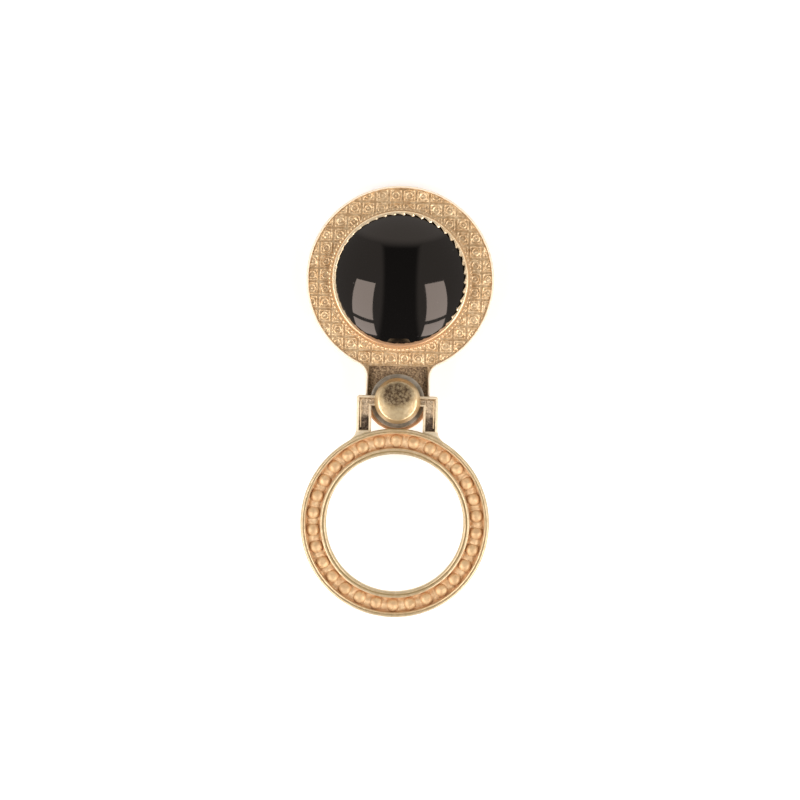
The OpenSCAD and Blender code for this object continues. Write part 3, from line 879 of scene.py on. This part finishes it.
def bail_bar():
    """The crossbar between the legs, which hides most of the eye."""
    across = np.concatenate([EDGE_ROWS, np.arange(0.23, -0.4, -0.07),
                             [-0.42, -0.46, -0.5, -0.56, -0.64, -0.71, -0.76, -BAR_HALF]])
    reach = LEG_IN + 0.02
    rows = []
    for x in np.linspace(-reach, reach, 90):
        top = bail_height(np.full(len(across), min(abs(x), LEG_IN - 0.01)), across)
        under = np.array([[x, -BAR_HALF, 0.1], [x, -0.7, 0], [x, 0.7, 0], [x, BAR_HALF, 0.1]])
        rows.append(np.concatenate([np.column_stack([np.full(len(across), x), across, top]), under]))
    points = np.array(rows)
    points[:, :, 2] += BAIL_Z
    return skin(points, round_rows=False)


def make_ring_casting(material, floor):
    """The ring, its bail's legs and crossbar, and the eye that turns on the rivet's post."""
    hole, rim, chamfer = 1.12, 2.3, 0.08
    eye = lathe([(hole, 0), (rim - chamfer, 0), (rim, chamfer), (rim, BAIL_T - chamfer),
                 (rim - chamfer, BAIL_T), (hole, BAIL_T)], steps=96)
    shapes = [ring_band(), bail_leg(1), bail_leg(-1), bail_bar(), moved(eye, (0, 0, BAIL_Z))]

    def is_floor(middle, upright):
        beyond = np.hypot(middle[:, 0], middle[:, 1] + REACH) > RING_R + 0.05
        return beyond & (middle[:, 2] < BAIL_Z + 1.05) & (middle[:, 2] > BAIL_Z + 0.3) & (upright > 0.35)

    return make_piece("ring_casting", shapes, material, "ring", "ring_frame",
                      floor=floor, is_floor=is_floor)


def make_ring_domes(material):
    """The beads that sit in the channel, each a little lumpy in its own way."""
    shapes = []
    for i in range(BEADS):
        a = (i + 0.5) * 2 * math.pi / BEADS
        points, faces = dome(0.99, 0.84, 14, 36)
        lumps = grain(points[:, 0] + 3 * i, points[:, 1], 0.5, 41) - 0.5
        points[:, 2] += 0.12 * lumps * ease(points[:, 2], 0, 0.3)
        shapes.append(moved((points, faces), (*round_spot(BEAD_RING_R, a, -REACH), BEAD_Z)))
    return make_piece("channel_domes", shapes, material, "ring", "ring_beads")


# ---- stage ----

def make_floor():
    """A pale table that reaches past the view on every side."""
    material, tree, shader = start_material("pale table", metallic=0.0, Roughness=0.9)
    mottle = place(tree, "ShaderNodeTexNoise", {"Vector": spot(tree), "Scale": 12.0}).outputs[0]
    colour = mix_colour(tree, mottle, rgb(0.89, 0.91, 0.93), rgb(0.91, 0.93, 0.95))
    tree.links.new(colour, shader.inputs["Base Color"])
    shader.inputs["Emission Color"].default_value = rgb(1.0, 1.0, 1.0)
    shader.inputs["Emission Strength"].default_value = 0.3
    mesh = bpy.data.meshes.new("table")
    half = 1.5
    corners = [(-half, -half, 0), (half, -half, 0), (half, half, 0), (-half, half, 0)]
    mesh.from_pydata(corners, [], [(0, 1, 2, 3)])
    mesh.materials.append(material)
    floor = bpy.data.objects.new("table", mesh)
    bpy.context.scene.collection.objects.link(floor)


def add_softbox(name, side, along, length):
    """Part of a tall softbox that leans over the brooch from the left or the right."""
    down = Vector((0.0, -0.88, -0.475)).normalized()
    across = Vector((0.907 * -side, -0.2, 0.371))
    across = (across - down * across.dot(down)).normalized()
    facing = across.cross(down) * -side
    lamp = bpy.data.lights.new(name, "AREA")
    lamp.shape = "RECTANGLE"
    lamp.size, lamp.size_y = SOFTBOX_WIDTH, length
    lamp.energy = SOFTBOX_GLOW * math.pi * SOFTBOX_WIDTH * length
    lamp.color = (1.0, 0.93, 0.9)
    box = bpy.data.objects.new(name, lamp)
    back = -facing
    turn = Matrix((across, back.cross(across), back)).transposed()
    middle = Vector((SOFTBOX_ASIDE * side, -0.48, 0.348)) + down * along
    box.matrix_world = Matrix.Translation(middle) @ turn.to_4x4()
    bpy.context.scene.collection.objects.link(box)


def light_studio():
    """Two softboxes, each in two panels; pale walls; and a dark gap where the camera hangs."""
    for side in (-1, 1):
        add_softbox("upper softbox", side, -0.225, 0.65)
        add_softbox("lower softbox", side, 0.365, 0.37)
    world = bpy.data.worlds.new("studio")
    world.use_nodes = True
    tree = world.node_tree
    where = place(tree, "ShaderNodeTexCoord").outputs["Generated"]
    parts = place(tree, "ShaderNodeSeparateXYZ", {0: where}).outputs
    aside = place(tree, "ShaderNodeMath", {0: parts["X"]}, operation="ABSOLUTE").outputs[0]
    walls = ramp(tree, aside, 0.3, 0.42, 0.08, 0.62)
    far_wall = ramp(tree, parts["Y"], 0.62, 0.82, 0.0, 1.15)
    sky = tree.nodes["Background"]
    sky.inputs["Color"].default_value = rgb(1.0, 0.97, 0.94)
    tree.links.new(larger(tree, walls, far_wall), sky.inputs["Strength"])
    bpy.context.scene.world = world


def set_camera():
    """Straight above, turned a little, as far off as a short telephoto stands."""
    camera = bpy.data.cameras.new("camera")
    distance = 0.32
    field = 0.1216
    camera.sensor_width = 36
    camera.lens = 36 * distance / field
    camera.clip_start = 0.01
    holder = bpy.data.objects.new("camera", camera)
    holder.location = (0.00038, 0.00015, distance + 0.006)
    holder.rotation_euler = (0, 0, math.radians(1.31))
    bpy.context.scene.collection.objects.link(holder)
    bpy.context.scene.camera = holder
    bpy.context.scene.view_settings.view_transform = "Standard"


def finish_back_parts():
    nickel = make_back_metal("plated nickel", rgb(0.50, 0.48, 0.45), rgb(0.66, 0.64, 0.60), 0.28)
    steel = make_back_metal("pin steel", rgb(0.52, 0.53, 0.55), rgb(0.68, 0.69, 0.70), 0.18, 1.5)
    brass = make_back_metal("post brass", rgb(0.60, 0.45, 0.22), rgb(0.78, 0.62, 0.34), 0.3)
    pad = make_pad_white()
    finishes = {"pin_base": nickel, "catch_housing": nickel, "catch_sleeve": nickel, "pin_stem": steel,
                "rivet_post": brass, "hinge_rivet": brass, "stone_pad": pad}
    for node, material in finishes.items():
        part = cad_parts[node]
        part.data.materials.clear()
        part.data.materials.append(material)


set_camera()
make_floor()
light_studio()
sunk_brown = make_sunk_brown()
make_plate_casting(make_plate_gold(), sunk_brown)
make_bezel(make_bezel_gold())
make_milgrain(make_wire_gold())
make_stone(make_black_stone())
make_washer(make_washer_steel())
make_cap(make_cap_brass())
make_ring_casting(make_ring_gold(), sunk_brown)
make_ring_domes(make_bead_gold())
finish_back_parts()
